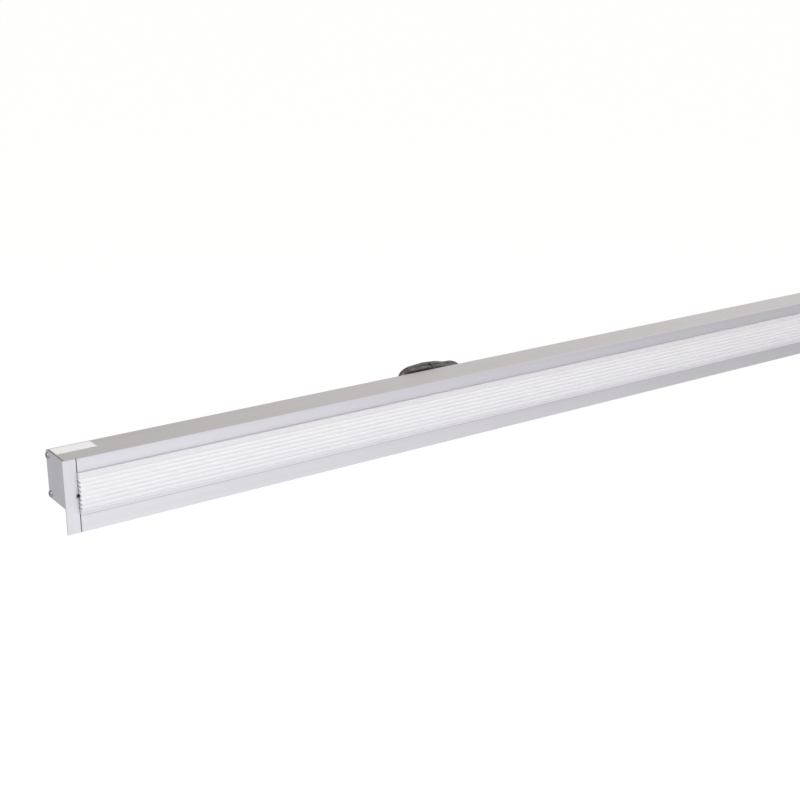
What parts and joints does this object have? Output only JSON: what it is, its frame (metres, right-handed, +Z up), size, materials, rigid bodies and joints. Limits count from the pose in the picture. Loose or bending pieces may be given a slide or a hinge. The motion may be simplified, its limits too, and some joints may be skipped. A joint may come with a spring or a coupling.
{
  "type": "recessed linear fluorescent light fixture",
  "caption": "Slim recessed linear light fixture with an aluminium channel, a ribbed opal diffuser, a slim tube lamp in turning holders, a ballast and a tied supply cord.",
  "frame": {"origin": "midway between the two rear fixing holes, on the outside of the back wall", "axes": "+X along the fixture, to the right as seen from its lit face; +Y from the lit face into the recess; +Z up in the picture, across the face"},
  "size_m": [1.24, 0.1135, 0.078],
  "materials": {
    "anodised_profile": "satin anodised",
    "opal_diffuser": "opal, softly ribbed",
    "phosphor_glass": "white coated inside, glossy outside",
    "white_reflector": "gloss white",
    "zinc_screw": "zinc plated",
    "galvanised_sheet": "galvanised",
    "circuit_board": "satin lacquer",
    "board_parts": "mixed satin",
    "terminal_grey": "satin",
    "lead_insulation": "satin",
    "block_white": "satin",
    "brass_fitting": "satin",
    "core_insulation": "satin; brown, blue and green-yellow in the rendering",
    "black_cord": "satin",
    "tinned_copper": "tinned, satin",
    "black_nylon": "satin",
    "blank_label": "smooth, blank",
    "end_cap_metal": "satin",
    "holder_white": "satin",
    "lamp_cap_metal": "bright satin",
    "electrode_wire": "satin"
  },
  "bodies": {
    "housing": {"housing_profile": "anodised_profile", "reflector": "white_reflector", "reflector_screws": "zinc_screw", "ballast_case": "galvanised_sheet", "ballast_cover": "galvanised_sheet", "ballast_board": "circuit_board", "ballast_components": "board_parts", "ballast_terminals": "terminal_grey", "ballast_screws": "zinc_screw", "ballast_input_leads": "lead_insulation", "terminal_block": "block_white", "terminal_screws": "zinc_screw", "earth_lug": "brass_fitting", "earth_screw": "zinc_screw", "supply_cores": "core_insulation", "cord_strain_relief": "black_cord", "supply_cord": "black_cord", "supply_cord_hank": "black_cord", "supply_cord_tail": "black_cord", "cord_cores": "core_insulation", "cord_ferrules": "tinned_copper", "cord_tie": "black_nylon", "cord_tie_base": "black_nylon", "rating_label": "blank_label", "end_cap_left": "end_cap_metal", "end_cap_screws_left": "zinc_screw", "lampholder_left": "holder_white", "lampholder_contacts_left": "brass_fitting", "lamp_leads_left": "lead_insulation", "end_cap_right": "end_cap_metal", "end_cap_screws_right": "zinc_screw", "lampholder_right": "holder_white", "lampholder_contacts_right": "brass_fitting", "lamp_leads_right": "lead_insulation"},
    "diffuser": {"diffuser": "opal_diffuser"},
    "lamp": {"lamp_tube": "phosphor_glass", "lamp_cap_left": "lamp_cap_metal", "lamp_pins_left": "brass_fitting", "lamp_electrode_left": "electrode_wire", "lampholder_rotor_left": "holder_white", "lamp_cap_right": "lamp_cap_metal", "lamp_pins_right": "brass_fitting", "lamp_electrode_right": "electrode_wire", "lampholder_rotor_right": "holder_white"}
  },
  "joints": [
    {"name": "diffuser_release", "type": "slide", "parent": "housing", "child": "diffuser", "axis": [0, -1, 0], "range_m": [0, 0.06]},
    {"name": "lamp_twist", "type": "hinge", "parent": "housing", "child": "lamp", "pos_m": [0, -0.0665, 0.00213], "axis": [1, 0, 0], "range_deg": [0, 90]}
  ]
}
